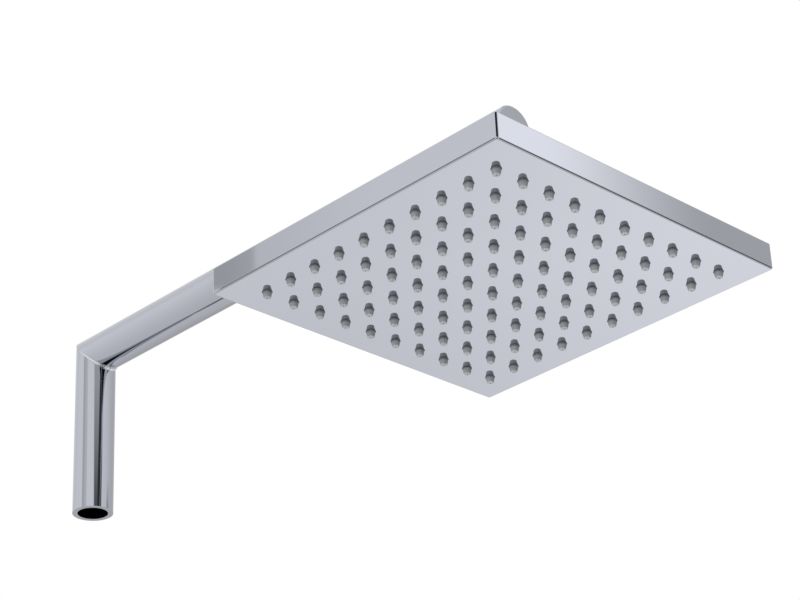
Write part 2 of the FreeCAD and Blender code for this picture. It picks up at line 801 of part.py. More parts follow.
def spray_face():
    """Square tray with soft edges, eight screw bosses inside and a square field of nozzle holes."""
    body = head_body("spray_face")
    block = new_sketch(body, "XY_Plane")
    draw_square(block, "(head_side / 2)")
    outside = pad(body, block, "head_depth")
    middle = value("head_depth / 2")

    def upright(one, other):
        return min(one.z, other.z) < middle < max(one.z, other.z)

    def under(one, other):
        return max(one.z, other.z) < middle

    def over(one, other):
        return min(one.z, other.z) > middle

    corners = round_edges(body, outside, upright, "head_corner_radius")
    face_edges = round_edges(body, corners, under, "head_edge_radius")
    round_edges(body, face_edges, over, "head_rim_radius")
    inside = new_sketch(body, "XY_Plane", lift="head_depth")
    draw_square(inside, "tray_inner_half")
    pocket(body, inside, "head_depth - face_thickness")
    bosses = new_sketch(body, "XY_Plane", lift="face_thickness")
    for side in ("0", "boss_place"):
        draw_circle(bosses, "boss_diameter / 2", "boss_place", side)
        draw_circle(bosses, "screw_radius + screw_fit", "boss_place", side)
    ring_pattern(body, [pad(body, bosses, "cover_height - face_thickness")], "4")
    hole = new_sketch(body, "XY_Plane", x="-nozzle_corner", y="-nozzle_corner", lift="face_thickness")
    draw_circle(hole, "nozzle_hole_radius")
    row_pattern(body, [pocket(body, hole, "face_thickness + overrun")], ["X_Axis", "Y_Axis"])


for make in (
    riser_tube,
    arm_tube,
    mitre_braze,
    arm_end_cap,
    riser_socket,
    locking_screw,
    outlet_nipple,
    flow_regulator,
    regulator_ring,
    filter_washer,
    filter_screen,
    union_nut,
    swivel_ball,
    ball_liner,
    collar_nut,
    swivel_socket,
    ball_seal,
    swivel_washer,
    lock_nut,
    back_cover,
    cover_screws,
    chamber_gasket,
    mat_retainer,
    nozzle_mat,
    spray_face,
):
    make()
doc.recompute()

# Every feature must have worked, every cut must have removed something and every solid must be sound
for item in doc.Objects:
    if "Invalid" in item.State or "Error" in item.State:
        raise RuntimeError(f"{item.Label} failed: {item.State}")
    if item.TypeId.split("::")[-1].startswith(("Pocket", "Groove", "Subtractive")):
        if item.Shape.Volume >= item.BaseFeature.Shape.Volume:
            raise RuntimeError(f"{item.Label} removes nothing")
for part in subparts:
    if part.Shape.isNull() or not part.Shape.isValid():
        raise RuntimeError(f"{part.Label} has no sound shape")

os.makedirs("parts", exist_ok=True)
for part in subparts:
    part.Shape.exportStep(f"parts/{part.Label}.step")
    print(part.Label, len(part.Shape.Solids), round(part.Shape.Volume, 1))
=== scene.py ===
import math

import bpy
from mathutils import Matrix, Vector


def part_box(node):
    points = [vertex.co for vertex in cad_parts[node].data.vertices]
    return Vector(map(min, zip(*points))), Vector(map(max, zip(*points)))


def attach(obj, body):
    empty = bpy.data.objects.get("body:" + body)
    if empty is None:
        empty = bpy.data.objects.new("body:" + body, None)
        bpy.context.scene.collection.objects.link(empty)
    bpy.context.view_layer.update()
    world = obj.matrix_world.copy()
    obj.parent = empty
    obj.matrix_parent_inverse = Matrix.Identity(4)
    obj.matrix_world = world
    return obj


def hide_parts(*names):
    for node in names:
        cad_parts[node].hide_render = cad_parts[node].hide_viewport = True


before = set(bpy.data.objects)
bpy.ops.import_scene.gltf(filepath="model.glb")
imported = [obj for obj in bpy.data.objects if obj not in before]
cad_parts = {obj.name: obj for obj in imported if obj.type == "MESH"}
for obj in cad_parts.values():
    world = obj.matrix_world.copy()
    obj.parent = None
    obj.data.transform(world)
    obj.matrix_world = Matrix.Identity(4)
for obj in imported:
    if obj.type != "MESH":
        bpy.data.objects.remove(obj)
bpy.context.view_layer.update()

MM = 0.001

# Sizes in millimetres, as in the part's source
TUBE_RADIUS = 12.0
TUBE_BORE = 10.5
RISER_RISE = 102.0
ARM_END = -350.0
CAP_RIM = 2.0
CAP_EDGE = 0.8
HEAD_HALF = 100.0
HEAD_DEPTH = 14.5
HEAD_CORNER = 1.5
HEAD_EDGE = 1.0
HEAD_RIM = 0.6
TRAY_INNER = 98.0
FACE_THICKNESS = 2.0
NOZZLE_COUNT = 10
NOZZLE_FIELD = 160.6
NOZZLE_PITCH = NOZZLE_FIELD / (NOZZLE_COUNT - 1)
NOZZLE_HOLE = 2.7
NOZZLE_ROOT = 2.6
NOZZLE_TIP = 1.75
NOZZLE_REACH = 3.5
MAT_HALF = 86.0
MAT_TOP = 3.2

# Sizes in millimetres that only the skins have
JOINT_EDGE = 0.12
SEAM_RADIUS = 1.4
TRAY_CORNER = 0.05
HOLE_LIP = 0.06
NOZZLE_NOSE = 0.75
NOZZLE_BORE = 0.45
NOZZLE_WELL = 0.6
NOZZLE_LIP = 0.15

# Share of the seam's radius that is left at its ends
SEAM_END = 0.06

# Faces round the forms and along their bends
TUBE_FACES = 160
SEAM_FACES = 16
SEAM_STEPS = 96
NOZZLE_FACES = 40
CORNER_STEPS = 12
CAP_STEPS = 10
EDGE_STEPS = 8
RIM_STEPS = 6
LIP_STEPS = 4

# Points to the millimetre that a mesh can tell apart, and when two lengths are the same
POINT_GRID = 10000
DIGITS = 6
TOLERANCE = 1e-6

# The four corners of a square, and the ways up and down
SQUARE = ((-1, -1), (1, -1), (1, 1), (-1, 1))
UP = Vector((0, 0, 1))
DOWN = Vector((0, 0, -1))

# The middle of the spray face at rest
face_low, face_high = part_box("spray_face")
HEAD = Vector(((face_low.x + face_high.x) / 2, (face_low.y + face_high.y) / 2, face_low.z))


class Shell:
    """A mesh gathered face by face, in millimetres, in which every corner has its own normal."""

    def __init__(self):
        self.points = []
        self.places = {}
        self.faces = []
        self.normals = []
        self.finishes = []
        self.finish = 0

    def corner(self, point):
        """Number of a point, shared by all faces that meet there."""
        key = tuple(round(value * POINT_GRID) for value in point)
        if key not in self.places:
            self.places[key] = len(self.points)
            self.points.append(tuple(value * MM for value in point))
        return self.places[key]

    def face(self, points, normals):
        """Add a face and turn it the way its normals point; corners that coincide count once."""
        corners = [self.corner(point) for point in points]
        kept = [i for i in range(len(corners)) if corners[i] != corners[i - 1]]
        if len(kept) < 3:
            return
        across = Vector((0, 0, 0))
        first = points[kept[0]]
        for i, j in zip(kept[1:], kept[2:]):
            across += (points[i] - first).cross(points[j] - first)
        if across.dot(sum((normals[i] for i in kept), Vector((0, 0, 0)))) < 0:
            kept.reverse()
        self.faces.append([corners[i] for i in kept])
        self.normals.extend(normals[i].normalized() for i in kept)
        self.finishes.append(self.finish)

    def skin(self, ring, normals, other_ring, other_normals):
        """Add a strip of faces between two closed rings of points."""
        count = len(ring)
        for i in range(count):
            j = (i + 1) % count
            self.face(
                [ring[i], ring[j], other_ring[j], other_ring[i]],
                [normals[i], normals[j], other_normals[j], other_normals[i]],
            )

    def turn(self, runs, origin, axis, count):
        """Turn runs of (radius, height, radial normal, axial normal) about an axis, starting at +X."""
        axis = Vector(axis)
        aside = Vector((1, 0, 0))
        across = axis.cross(aside)
        rays = [aside * math.cos(math.tau * i / count) + across * math.sin(math.tau * i / count)
                for i in range(count)]
        origin = Vector(origin)
        for run in runs:
            rings = [([origin + ray * radius + axis * height for ray in rays],
                      [ray * outward + axis * upward for ray in rays])
                     for radius, height, outward, upward in run]
            for (ring, normals), (other_ring, other_normals) in zip(rings, rings[1:]):
                self.skin(ring, normals, other_ring, other_normals)

    def build(self, name, body, slot, replaced, finishes=()):
        """Make the object, with its ride and its slot, and hide the node it stands for."""
        mesh = bpy.data.meshes.new(name)
        mesh.from_pydata(self.points, [], self.faces)
        mesh.polygons.foreach_set("use_smooth", [True] * len(self.faces))
        mesh.normals_split_custom_set(self.normals)
        for finish in finishes or (slot,):
            mesh.materials.append(materials[finish])
        mesh.polygons.foreach_set("material_index", self.finishes)
        piece = bpy.data.objects.new(name, mesh)
        bpy.context.scene.collection.objects.link(piece)
        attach(piece, body)
        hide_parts(replaced)


def line(start, end):
    """Straight run of a turned outline; its outside lies on the right of the way it goes."""
    along = Vector(end) - Vector(start)
    outward = Vector((along.y, -along.x)).normalized()
    return [(*start, *outward), (*end, *outward)]


def arc(centre, radius, start, end, steps):
    """Rounded run of a turned outline, between two angles in degrees."""
    run = []
    for i in range(steps + 1):
        angle = math.radians(start + (end - start) * i / steps)
        away = Vector((math.cos(angle), math.sin(angle)))
        run.append((centre[0] + radius * away.x, centre[1] + radius * away.y, away.x, away.y))
    return run


def add_node(tree, kind, inputs=None, **settings):
    """Add a shader node; an input is a number, a colour or the socket that feeds it."""
    node = tree.nodes.new(kind)
    for name, value in settings.items():
        setattr(node, name, value)
    for name, value in (inputs or {}).items():
        if isinstance(value, bpy.types.NodeSocket):
            tree.links.new(value, node.inputs[name])
        else:
            node.inputs[name].default_value = value
    return node


def noise(tree, coordinates, scale, detail=2.0, roughness=0.5):
    """Noise between 0 and 1 with a number of features to the metre."""
    node = add_node(
        tree,
        "ShaderNodeTexNoise",
        {"Vector": coordinates, "Scale": scale, "Detail": detail, "Roughness": roughness},
    )
    return node.outputs["Fac"]


def spread(tree, value, low, high, start=0.3, end=0.7):
    """Spread a value over a range."""
    node = add_node(
        tree,
        "ShaderNodeMapRange",
        {"Value": value, "From Min": start, "From Max": end, "To Min": low, "To Max": high},
    )
    return node.outputs["Result"]


def blend(tree, share, one, other):
    """Blend two colours."""
    node = add_node(tree, "ShaderNodeMix", data_type="RGBA")
    tree.links.new(share, node.inputs["Factor"])
    node.inputs["A"].default_value = (*one, 1)
    node.inputs["B"].default_value = (*other, 1)
    return node.outputs["Result"]


def bump(tree, heights):
    """Stack bumps of (height, depth in metres) into one normal."""
    normal = None
    for height, depth in heights:
        node = add_node(tree, "ShaderNodeBump", {"Height": height, "Distance": depth, "Strength": 1.0})
        if normal:
            tree.links.new(normal, node.inputs["Normal"])
        normal = node.outputs["Normal"]
    return normal


def new_material(name):
    """Start a material and give its tree, its shader and its object coordinates."""
    material = bpy.data.materials.new(name)
    material.use_nodes = True
    tree = material.node_tree
    shader = next(node for node in tree.nodes if node.type == "BSDF_PRINCIPLED")
    coordinates = add_node(tree, "ShaderNodeTexCoord").outputs["Object"]
    return material, tree, shader, coordinates


def plate(name, light, dark, smooth, dull, wave_depth=2e-5, scratch_depth=4e-8):
    """Chrome plate: slightly uneven polish, faint clouding, a hint of waviness and very fine scratches."""
    material, tree, shader, coordinates = new_material(name)
    shader.inputs["Metallic"].default_value = 1.0
    clouds = noise(tree, coordinates, scale=16.0, detail=3.0)
    tree.links.new(blend(tree, clouds, light, dark), shader.inputs["Base Color"])
    polish = noise(tree, coordinates, scale=60.0, detail=5.0, roughness=0.6)
    tree.links.new(spread(tree, polish, smooth, dull), shader.inputs["Roughness"])
    waves = noise(tree, coordinates, scale=9.0, detail=1.0)
    scratches = noise(tree, coordinates, scale=2600.0)
    normal = bump(tree, [(waves, wave_depth), (scratches, scratch_depth)])
    tree.links.new(normal, shader.inputs["Normal"])
    return material


def turned_metal(name, light, dark, smooth, dull, ring_scale=(40.0, 40.0, 5200.0), depth=3e-6):
    """Bare metal with the fine rings that turning leaves."""
    material, tree, shader, coordinates = new_material(name)
    shader.inputs["Metallic"].default_value = 1.0
    rings = add_node(tree, "ShaderNodeMapping", {"Vector": coordinates, "Scale": ring_scale})
    marks = noise(tree, rings.outputs["Vector"], scale=1.0, detail=3.0)
    clouds = noise(tree, coordinates, scale=140.0, detail=4.0)
    tree.links.new(blend(tree, clouds, light, dark), shader.inputs["Base Color"])
    tree.links.new(spread(tree, marks, smooth, dull), shader.inputs["Roughness"])
    tree.links.new(bump(tree, [(marks, depth)]), shader.inputs["Normal"])
    return material


def satin_grain(tree, shader, coordinates, smooth, dull, grain, depth):
    """Give a moulded surface its fine satin grain."""
    skin = noise(tree, coordinates, scale=grain, detail=3.0, roughness=0.6)
    tree.links.new(spread(tree, skin, smooth, dull), shader.inputs["Roughness"])
    tree.links.new(bump(tree, [(skin, depth)]), shader.inputs["Normal"])


def moulded(name, light, dark, smooth, dull, grain, depth):
    """Moulded rubber or plastic: an even colour with faint clouds and a fine satin grain."""
    material, tree, shader, coordinates = new_material(name)
    clouds = noise(tree, coordinates, scale=210.0, detail=4.0)
    tree.links.new(blend(tree, clouds, light, dark), shader.inputs["Base Color"])
    satin_grain(tree, shader, coordinates, smooth, dull, grain, depth)
    return material


def painted_shade_silicone(name, tones, tint, smooth, dull, grain, depth):
    """Grey silicone with painted shade and painted light: tones of (height above the face in mm,
    brightness), faint clouds and a grain.
    """
    material, tree, shader, coordinates = new_material(name)
    place = add_node(tree, "ShaderNodeSeparateXYZ", {"Vector": coordinates})
    bottom = tones[0][0]
    top = tones[-1][0]
    # Painted shade and light: the colour darkens towards the root and lightens towards the tip, by height
    # above the face
    height = spread(tree, place.outputs["Z"], 0.0, 1.0, HEAD.z + bottom * MM, HEAD.z + top * MM)
    tone = add_node(tree, "ShaderNodeValToRGB", {"Fac": height})
    stops = tone.color_ramp.elements
    ready_stops = len(stops)
    for i, (level, brightness) in enumerate(tones):
        share = (level - bottom) / (top - bottom)
        stop = stops[i] if i < ready_stops else stops.new(share)
        stop.position = share
        stop.color = (*(brightness * part for part in tint), 1)
    clouds = spread(tree, noise(tree, coordinates, scale=210.0, detail=4.0), 0.94, 1.04)
    cloudy = add_node(tree, "ShaderNodeMix", data_type="RGBA", blend_type="MULTIPLY")
    cloudy.inputs["Factor"].default_value = 1.0
    tree.links.new(tone.outputs["Color"], cloudy.inputs["A"])
    tree.links.new(clouds, cloudy.inputs["B"])
    tree.links.new(cloudy.outputs["Result"], shader.inputs["Base Color"])
    satin_grain(tree, shader, coordinates, smooth, dull, grain, depth)
    return material


# Painted shade darkens the root, where the nozzle leaves the face, and painted light brightens it towards
# the tip
NOZZLE_PAINTED_SHADE = ((-3.5, 0.72), (-3.0, 0.55), (-2.0, 0.50), (-1.2, 0.46), (-0.6, 0.29), (0.0, 0.15))

materials = {
    "chrome": plate(
        "chrome_plate",
        light=(0.540, 0.558, 0.618), dark=(0.528, 0.546, 0.606), smooth=0.012, dull=0.030),
    "satin": plate(
        "chrome_plate_satin",
        light=(0.400, 0.414, 0.458), dark=(0.386, 0.400, 0.442), smooth=0.280, dull=0.340),
    "bead": plate(
        "chrome_plate_bead",
        light=(0.830, 0.845, 0.880), dark=(0.800, 0.815, 0.850), smooth=0.260, dull=0.340),
    "brass": turned_metal(
        "turned_brass",
        light=(0.78, 0.60, 0.29), dark=(0.70, 0.52, 0.24), smooth=0.20, dull=0.34),
    "stainless": turned_metal(
        "bright_steel",
        light=(0.60, 0.60, 0.61), dark=(0.52, 0.52, 0.53), smooth=0.22, dull=0.36),
    "rubber": moulded(
        "black_rubber",
        light=(0.022, 0.022, 0.023), dark=(0.034, 0.034, 0.035), smooth=0.52, dull=0.68,
        grain=2400.0, depth=6e-6),
    # Silicone nozzles with painted shade at the root and painted light at the tip
    "silicone": painted_shade_silicone(
        "grey_silicone_painted_shade",
        tones=NOZZLE_PAINTED_SHADE, tint=(0.97, 0.99, 1.05), smooth=0.26, dull=0.34, grain=3000.0, depth=3e-6),
    "acetal": moulded(
        "white_acetal",
        light=(0.80, 0.80, 0.77), dark=(0.74, 0.74, 0.71), smooth=0.34, dull=0.46,
        grain=1800.0, depth=3e-6),
}


def arm():
    """Arm tube: mitred at the riser, with a soft front rim against its cap."""
    shell = Shell()
    angles = [math.tau * i / TUBE_FACES for i in range(TUBE_FACES)]
    rays = [Vector((math.cos(angle), 0, math.sin(angle))) for angle in angles]
    middle = Vector((0, 0, RISER_RISE))
    for radius, side in ((TUBE_RADIUS, 1), (TUBE_BORE, -1)):
        walls = [ray * side for ray in rays]
        back = [middle + ray * radius + Vector((0, ray.z * radius, 0)) for ray in rays]
        front = [middle + ray * radius + Vector((0, ARM_END + JOINT_EDGE, 0)) for ray in rays]
        shell.skin(back, walls, front, walls)
    rim = arc((TUBE_RADIUS - JOINT_EDGE, -JOINT_EDGE), JOINT_EDGE, 0, 90, LIP_STEPS)
    end = line((TUBE_BORE, 0), (TUBE_RADIUS - JOINT_EDGE, 0))[::-1]
    shell.turn([rim, end], (0, ARM_END, RISER_RISE), (0, -1, 0), TUBE_FACES)
    shell.build("arm_tube_skin", "riser_arm", "chrome", "arm_tube")


def end_cap():
    """Cap on the arm's front end: a flat disc with a rounded edge and a hairline joint behind it."""
    shell = Shell()
    rim = [
        arc((TUBE_RADIUS - JOINT_EDGE, JOINT_EDGE), JOINT_EDGE, -90, 0, LIP_STEPS),
        line((TUBE_RADIUS, JOINT_EDGE), (TUBE_RADIUS, CAP_RIM - CAP_EDGE)),
        arc((TUBE_RADIUS - CAP_EDGE, CAP_RIM - CAP_EDGE), CAP_EDGE, 0, 90, CAP_STEPS),
    ]
    disc = line((TUBE_RADIUS - CAP_EDGE, CAP_RIM), (0, CAP_RIM))
    place = ((0, ARM_END, RISER_RISE), (0, -1, 0), TUBE_FACES)
    shell.turn(rim, *place)
    shell.finish = 1
    shell.turn([disc], *place)
    shell.build("arm_end_cap_skin", "riser_arm", "chrome", "arm_end_cap", ("chrome", "satin"))


def seam():
    """Brazed seam: a slim polished bead in the mitre's inner corner, thinning out at the tube's sides."""
    shell = Shell()
    rings = []
    turns = [math.tau * i / SEAM_FACES for i in range(SEAM_FACES)]
    for i in range(SEAM_STEPS + 1):
        angle = math.pi + math.pi * i / SEAM_STEPS
        of_riser = Vector((math.cos(angle), math.sin(angle), 0))
        of_arm = Vector((math.cos(angle), 0, math.sin(angle)))
        along = Vector((-math.sin(angle), math.cos(angle), math.cos(angle))).normalized()
        outward = (of_riser + of_arm).normalized()
        across = along.cross(outward)
        middle = Vector((math.cos(angle), math.sin(angle), math.sin(angle))) * TUBE_RADIUS
        middle.z += RISER_RISE
        radius = SEAM_RADIUS * max(abs(math.sin(angle)), SEAM_END)
        ways = [outward * math.cos(turn) + across * math.sin(turn) for turn in turns]
        rings.append(([middle + way * radius for way in ways], ways, along))
    for one, other in zip(rings, rings[1:]):
        shell.skin(one[0], one[1], other[0], other[1])
    for ring, way in ((rings[0], -1), (rings[-1], 1)):
        shell.face(ring[0], [ring[2] * way] * SEAM_FACES)
    shell.build("mitre_braze_skin", "riser_arm", "chrome", "mitre_braze", ("bead",))


def square_ring(half, corner, height):
    """Points of a square with round corners, at a height above the spray face, and the ways they face."""
    points, facing = [], []
    for quarter in range(4):
        diagonal = math.radians(90 * quarter + 45)
        middle = Vector((math.copysign(1, math.cos(diagonal)), math.copysign(1, math.sin(diagonal)), 0))
        for i in range(CORNER_STEPS + 1):
            angle = math.radians(90 * quarter + 90 * i / CORNER_STEPS)
            away = Vector((math.cos(angle), math.sin(angle), 0))
            points.append(HEAD / MM + middle * (half - corner) + away * corner + Vector((0, 0, height)))
            facing.append(away)
    return points, facing


def nozzle_steps():
    """Distances of the nozzles from the middle of the spray face, along one side."""
    first = -NOZZLE_PITCH * (NOZZLE_COUNT - 1) / 2
    return [first + NOZZLE_PITCH * i for i in range(NOZZLE_COUNT)]


def nozzle_places():
    """Middle of every nozzle on the spray face."""
    return [HEAD / MM + Vector((x, y, 0)) for y in nozzle_steps() for x in nozzle_steps()]


def tray():
    """Tray of the head: a flat face with a field of holes, soft edges all round and an open top."""
    shell = Shell()
    rings = []
    for i in range(EDGE_STEPS + 1):
        angle = math.radians(90 * i / EDGE_STEPS)
        inset = HEAD_EDGE * (1 - math.sin(angle))
        rise = HEAD_EDGE * (1 - math.cos(angle))
        points, facing = square_ring(HEAD_HALF - inset, HEAD_CORNER - inset, rise)
        rings.append((points, [away * math.sin(angle) + DOWN * math.cos(angle) for away in facing]))
    for i in range(RIM_STEPS + 1):
        angle = math.radians(90 * i / RIM_STEPS)
        inset = HEAD_RIM * (1 - math.cos(angle))
        rise = HEAD_DEPTH - HEAD_RIM * (1 - math.sin(angle))
        points, facing = square_ring(HEAD_HALF - inset, HEAD_CORNER - inset, rise)
        rings.append((points, [away * math.cos(angle) + UP * math.sin(angle) for away in facing]))
    for (ring, normals), (other_ring, other_normals) in zip(rings, rings[1:]):
        shell.skin(ring, normals, other_ring, other_normals)
    inner, facing = square_ring(TRAY_INNER, TRAY_CORNER, HEAD_DEPTH)
    bottom, facing = square_ring(TRAY_INNER, TRAY_CORNER, FACE_THICKNESS)
    inwards = [-away for away in facing]
    flat = [UP] * len(inner)
    shell.skin(rings[-1][0], flat, inner, flat)
    shell.skin(inner, inwards, bottom, inwards)

    # Square cells with a round hole in each
    angles = [math.tau * i / NOZZLE_FACES for i in range(NOZZLE_FACES)]
    rays = [Vector((math.cos(angle), math.sin(angle), 0)) for angle in angles]
    edges = [ray * (NOZZLE_PITCH / 2 / max(abs(ray.x), abs(ray.y))) for ray in rays]
    flat = [DOWN] * NOZZLE_FACES
    mouth = NOZZLE_HOLE + HOLE_LIP
    hole = [
        [(mouth, 0, 0, -1), (NOZZLE_HOLE, HOLE_LIP, -1, 0)],
        [(NOZZLE_HOLE, HOLE_LIP, -1, 0), (NOZZLE_HOLE, FACE_THICKNESS, -1, 0)],
    ]
    for place in nozzle_places():
        shell.skin([place + edge for edge in edges], flat, [place + ray * mouth for ray in rays], flat)
        shell.turn(hole, place, UP, NOZZLE_FACES)

    # Margin between the cells and the soft edge, one face to a side
    reach = NOZZLE_PITCH * NOZZLE_COUNT / 2
    on_side = [edge for edge in edges if abs(edge.x - NOZZLE_PITCH / 2) < TOLERANCE]
    offsets = sorted({round(edge.y, DIGITS) for edge in on_side})
    along = sorted({round(step + offset, DIGITS) for step in nozzle_steps() for offset in offsets})
    outline = rings[0][0]
    for quarter in range(4):
        turned = Matrix.Rotation(math.radians(90 * quarter), 3, "Z")
        inside = [HEAD / MM + turned @ Vector((reach, step, 0)) for step in along]
        start = (quarter - 1) % 4 * (CORNER_STEPS + 1) + CORNER_STEPS // 2
        outside = [outline[(start + i) % len(outline)] for i in range(CORNER_STEPS + 2)]
        corners = inside + outside[::-1]
        shell.face(corners, [DOWN] * len(corners))
    shell.build("spray_face_skin", "head", "chrome", "spray_face")


def nozzles():
    """Silicone mat: a sheet behind the face, with a field of round-tipped tapered nozzles and fine wells."""
    shell = Shell()
    slope = (NOZZLE_ROOT - NOZZLE_TIP) / NOZZLE_REACH
    neck = NOZZLE_NOSE - NOZZLE_REACH
    waist = NOZZLE_ROOT + slope * neck
    mouth = NOZZLE_BORE + NOZZLE_LIP
    well_start = NOZZLE_LIP - NOZZLE_REACH
    well_end = NOZZLE_WELL - NOZZLE_REACH
    runs = [
        line((NOZZLE_ROOT, FACE_THICKNESS), (NOZZLE_ROOT, 0))[::-1],
        [(NOZZLE_ROOT, 0, 1, -slope), (waist, neck, 1, -slope)],
        arc((waist - NOZZLE_NOSE, neck), NOZZLE_NOSE, 0, -90, EDGE_STEPS),
        [(waist - NOZZLE_NOSE, -NOZZLE_REACH, 0, -1), (mouth, -NOZZLE_REACH, 0, -1)],
        arc((mouth, well_start), NOZZLE_LIP, 270, 180, LIP_STEPS),
        [(NOZZLE_BORE, well_start, -1, 0), (NOZZLE_BORE, well_end, -1, 0)],
        [(NOZZLE_BORE, well_end, 0, -1), (0, well_end, 0, -1)],
    ]
    for place in nozzle_places():
        shell.turn(runs, place, UP, NOZZLE_FACES)
    under, over = [[HEAD / MM + Vector((x * MAT_HALF, y * MAT_HALF, height)) for x, y in SQUARE]
                   for height in (FACE_THICKNESS, MAT_TOP)]
    shell.face(under, [DOWN] * 4)
    shell.face(over, [UP] * 4)
    for i in range(4):
        j = (i + 1) % 4
        side = Matrix.Rotation(math.radians(90 * i), 3, "Z") @ Vector((0, -1, 0))
        shell.face([under[i], under[j], over[j], over[i]], [side] * 4)
    shell.build("nozzle_mat_skin", "head", "silicone", "nozzle_mat")


arm()
seam()
end_cap()
tray()
nozzles()

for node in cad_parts.values():
    slot = node.material_slots[0].material.name.split(".")[0]
    node.material_slots[0].material = materials[slot]

# Studio light by direction: azimuth to the right of the camera's side and elevation, both in degrees
CAMERA_SIDE = math.radians(-135.0)
world = bpy.data.worlds.new("studio")
bpy.context.scene.world = world
world.use_nodes = True
tree = world.node_tree
tree.nodes.clear()
direction = add_node(tree, "ShaderNodeTexCoord").outputs["Generated"]


def math_node(operation, *values):
    """Arithmetic on sockets and numbers."""
    node = add_node(tree, "ShaderNodeMath", dict(enumerate(values)), operation=operation)
    return node.outputs[0]


def along_axis(axis):
    """Component of the direction along an axis."""
    node = add_node(tree, "ShaderNodeVectorMath", {0: direction, 1: axis}, operation="DOT_PRODUCT")
    return node.outputs["Value"]


def ramp(value, start, end, low, high, shape="SMOOTHSTEP"):
    """Change of a value from one number to another between two limits."""
    node = add_node(
        tree,
        "ShaderNodeMapRange",
        {"Value": value, "From Min": start, "From Max": end, "To Min": low, "To Max": high},
        interpolation_type=shape,
    )
    return node.outputs["Result"]


def mix(share, one, other):
    """Blend of two levels, each a socket or a number."""
    node = add_node(tree, "ShaderNodeMix", {"Factor": share, "A": one, "B": other}, data_type="FLOAT")
    return node.outputs["Result"]


def panel(light, level, *windows):
    """Lay a panel of a given brightness over the studio, inside windows of (value, low, high, softness)."""
    share = 1.0
    for value, low, high, soft in windows:
        rise = ramp(value, low - soft, low + soft, 0.0, 1.0)
        fall = ramp(value, high - soft, high + soft, 1.0, 0.0)
        share = math_node("MULTIPLY", share, math_node("MULTIPLY", rise, fall))
    return mix(share, light, level)


def slanted(value, other, middle, rate):
    """A value that shifts as another one leaves a middle."""
    return math_node("MULTIPLY_ADD", math_node("SUBTRACT", other, middle), rate, value)


towards = along_axis((math.cos(CAMERA_SIDE), math.sin(CAMERA_SIDE), 0))
rightwards = along_axis((-math.sin(CAMERA_SIDE), math.cos(CAMERA_SIDE), 0))
upwards = along_axis((0, 0, 1))
lengthwise = along_axis((0, 1, 0))
crosswise = along_axis((1, 0, 0))
azimuth = math_node("DEGREES", math_node("ARCTAN2", rightwards, towards))
beyond = math_node("DEGREES", math_node("ARCTAN2", rightwards, math_node("MULTIPLY", towards, -1.0)))
turned_away = math_node("ABSOLUTE", azimuth)
elevation = math_node("DEGREES", math_node("ARCSINE", upwards))
steep = slanted(azimuth, elevation, 24.0, 3.0)
steeper = slanted(azimuth, elevation, 24.0, 4.4)
floor_edge = slanted(elevation, beyond, -6.0, -0.25)
floor_level = math_node(
    "MULTIPLY",
    ramp(rightwards, -0.06, 0.16, 0.94, 1.135),
    ramp(elevation, -27.6, -24.2, 1.0, 0.91, "LINEAR"),
)

# Limits past the poles and all the way round, for panels that are open on a side
NADIR = -120
ZENITH = 120
BEHIND = 200

# White studio, greyer towards the floor
light = ramp(elevation, -45, 20, 0.72, 0.93, "LINEAR")

